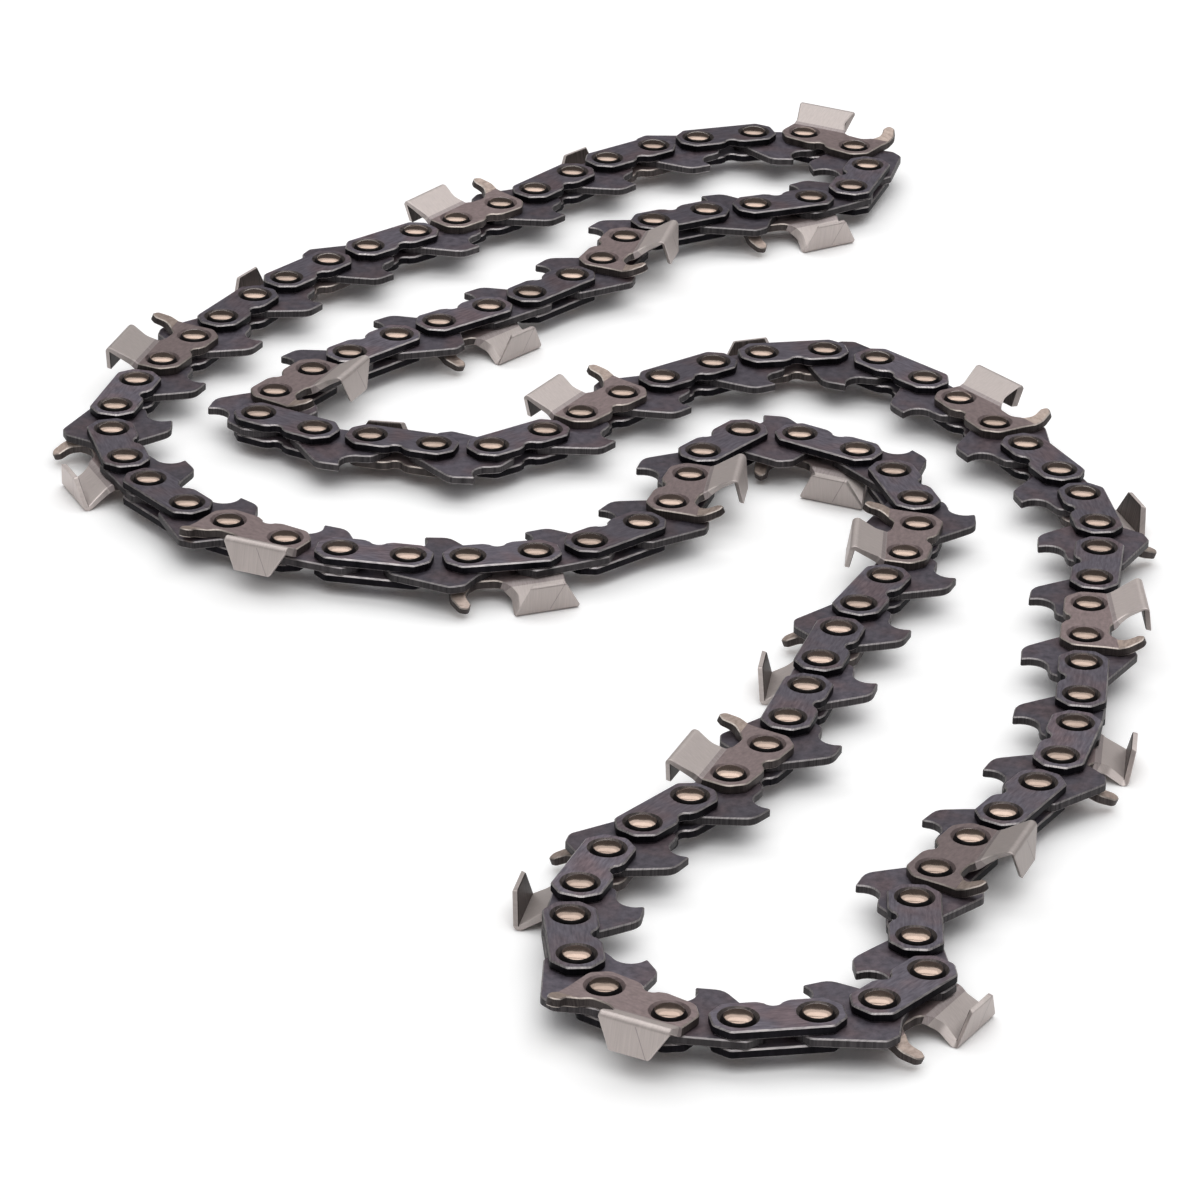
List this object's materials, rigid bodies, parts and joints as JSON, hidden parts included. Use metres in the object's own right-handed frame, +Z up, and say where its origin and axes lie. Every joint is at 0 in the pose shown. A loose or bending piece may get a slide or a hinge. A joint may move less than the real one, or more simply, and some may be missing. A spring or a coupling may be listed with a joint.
{
  "type": "chainsaw chain loop",
  "caption": "Closed saw chain lying on its side in a slack serpentine loop: riveted tie straps, drive links with tangs, bumper links and alternating left and right cutters.",
  "frame": {"origin": "on the floor under the middle of the loop's bounding box", "axes": "+Z up along the rivets, which stand upright as the chain lies on its side; +Y along the length of the loop as it lies; +X to the right"},
  "size_m": [0.1646, 0.314, 0.0084],
  "materials": {
    "cutter": "satin, chrome on the top plate",
    "drive_link": "satin",
    "tie_strap": "satin, blued"
  },
  "bodies": {
    "root": {"cutter_right_01": "cutter", "cutter_right_02": "cutter", "cutter_right_03": "cutter", "cutter_right_04": "cutter", "cutter_right_05": "cutter", "cutter_right_06": "cutter", "cutter_right_07": "cutter", "cutter_right_08": "cutter", "cutter_right_09": "cutter", "cutter_right_10": "cutter", "cutter_right_11": "cutter", "cutter_right_12": "cutter", "cutter_right_13": "cutter", "cutter_right_14": "cutter", "cutter_left_01": "cutter", "cutter_left_02": "cutter", "cutter_left_03": "cutter", "cutter_left_04": "cutter", "cutter_left_05": "cutter", "cutter_left_06": "cutter", "cutter_left_07": "cutter", "cutter_left_08": "cutter", "cutter_left_09": "cutter", "cutter_left_10": "cutter", "cutter_left_11": "cutter", "cutter_left_12": "cutter", "cutter_left_13": "cutter", "cutter_left_14": "cutter", "drive_links_01": "drive_link", "drive_links_02": "drive_link", "drive_links_03": "drive_link", "drive_links_04": "drive_link", "drive_links_05": "drive_link", "drive_links_06": "drive_link", "drive_links_07": "drive_link", "drive_links_08": "drive_link", "drive_links_09": "drive_link", "drive_links_10": "drive_link", "drive_links_11": "drive_link", "drive_links_12": "drive_link", "drive_links_13": "drive_link", "drive_links_14": "drive_link", "tie_straps_01": "tie_strap", "tie_straps_02": "tie_strap", "tie_straps_03": "tie_strap", "tie_straps_04": "tie_strap", "tie_straps_05": "tie_strap", "tie_straps_06": "tie_strap", "tie_straps_07": "tie_strap", "tie_straps_08": "tie_strap", "tie_straps_09": "tie_strap", "tie_straps_10": "tie_strap", "tie_straps_11": "tie_strap", "tie_straps_12": "tie_strap", "tie_straps_13": "tie_strap", "tie_straps_14": "tie_strap"}
  },
  "joints": []
}
